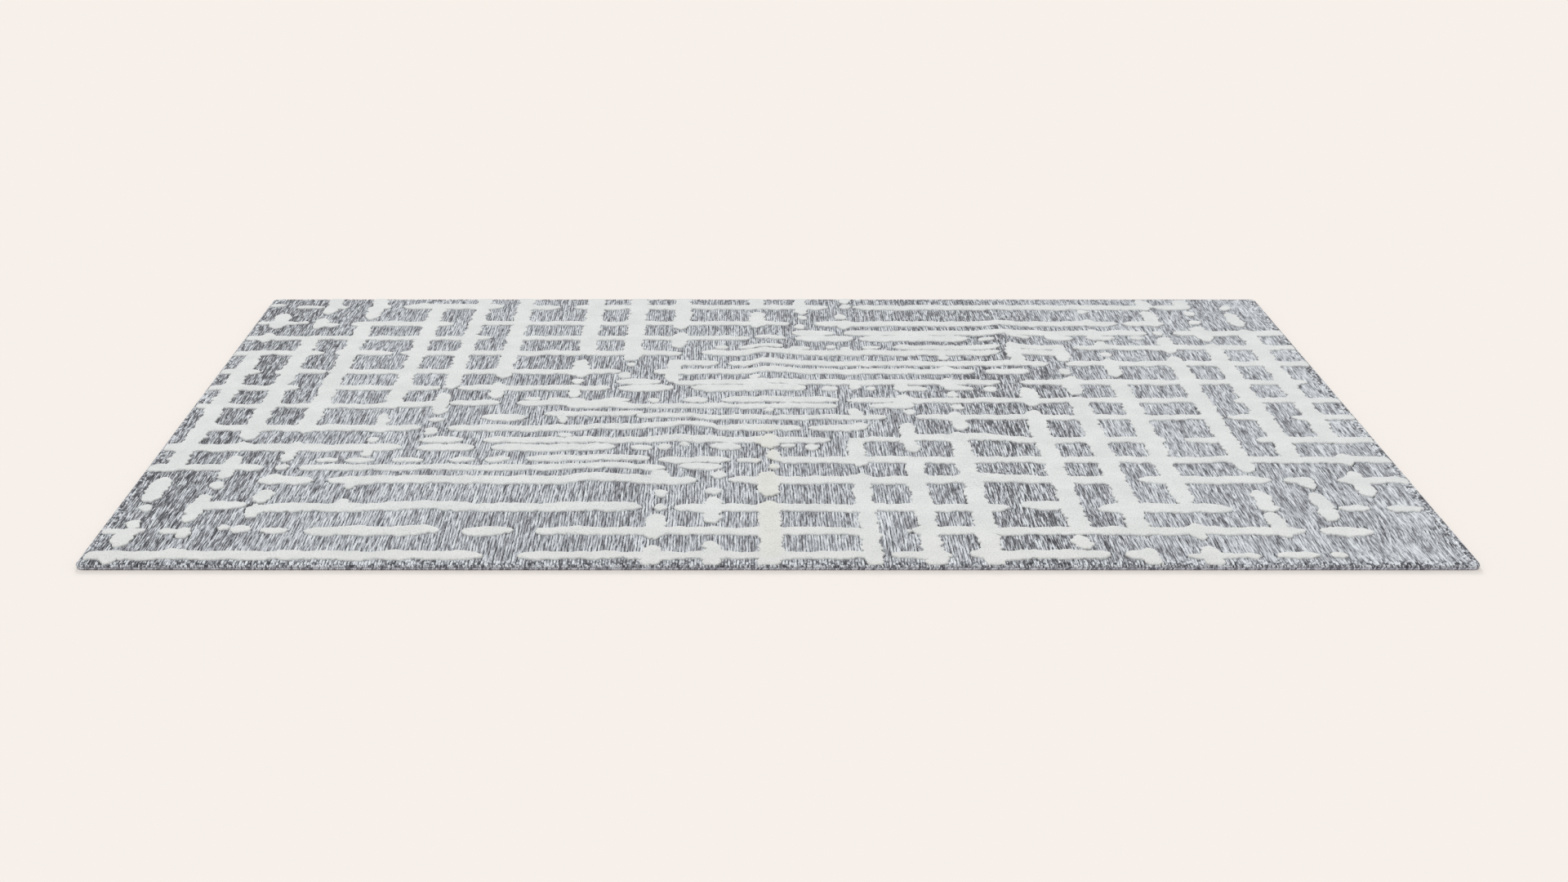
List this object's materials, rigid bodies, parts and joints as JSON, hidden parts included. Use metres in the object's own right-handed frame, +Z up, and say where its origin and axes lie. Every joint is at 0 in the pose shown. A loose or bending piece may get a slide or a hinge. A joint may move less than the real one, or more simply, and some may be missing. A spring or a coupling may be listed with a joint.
{
  "type": "area rug",
  "caption": "Rectangular hand-tufted area rug: heathered grey loop pile with a raised ivory grid of brush strokes, cloth backing, taped hem and overcast edges.",
  "frame": {"origin": "middle of the underside, on the floor", "axes": "+X along the long side, +Y across the rug towards its back edge, +Z up through the pile"},
  "size_m": [2.3, 1.6, 0.012],
  "materials": {
    "grey_pile": "heathered grey wool loops, matte",
    "ivory_pile": "ivory wool cut pile, matte with a slight bloom",
    "overcast_yarn": "heathered grey overcast yarn",
    "edge_cord": "cotton cord",
    "hem_tape": "cotton twill tape",
    "primary_cloth": "plain-woven tufting cloth",
    "latex": "dried latex, dull",
    "scrim": "open leno scrim",
    "backing_cloth": "undyed cotton canvas"
  },
  "bodies": {
    "root": {"backing_cloth": "backing_cloth", "bonding_latex": "latex", "edge_cord_back": "edge_cord", "edge_cord_front": "edge_cord", "edge_cord_left": "edge_cord", "edge_cord_right": "edge_cord", "ground_pile": "grey_pile", "hem_tape_back": "hem_tape", "hem_tape_front": "hem_tape", "hem_tape_left": "hem_tape", "hem_tape_right": "hem_tape", "latex_coat": "latex", "motif_grid_left": "ivory_pile", "motif_grid_right": "ivory_pile", "motif_stroke_01": "ivory_pile", "motif_stroke_02": "ivory_pile", "motif_stroke_03": "ivory_pile", "motif_stroke_04": "ivory_pile", "motif_stroke_05": "ivory_pile", "motif_stroke_06": "ivory_pile", "motif_stroke_07": "ivory_pile", "motif_stroke_08": "ivory_pile", "motif_stroke_09": "ivory_pile", "motif_stroke_10": "ivory_pile", "motif_stroke_11": "ivory_pile", "motif_stroke_12": "ivory_pile", "motif_stroke_13": "ivory_pile", "motif_stroke_14": "ivory_pile", "motif_stroke_15": "ivory_pile", "motif_stroke_16": "ivory_pile", "motif_stroke_17": "ivory_pile", "motif_stroke_18": "ivory_pile", "motif_stroke_19": "ivory_pile", "motif_stroke_20": "ivory_pile", "motif_stroke_21": "ivory_pile", "motif_stroke_22": "ivory_pile", "motif_stroke_23": "ivory_pile", "motif_stroke_24": "ivory_pile", "motif_stroke_25": "ivory_pile", "motif_stroke_26": "ivory_pile", "motif_stroke_27": "ivory_pile", "motif_stroke_28": "ivory_pile", "motif_stroke_29": "ivory_pile", "motif_stroke_30": "ivory_pile", "motif_stroke_31": "ivory_pile", "primary_cloth": "primary_cloth", "scrim": "scrim", "serging_back": "overcast_yarn", "serging_front": "overcast_yarn", "serging_left": "overcast_yarn", "serging_right": "overcast_yarn"}
  },
  "joints": []
}
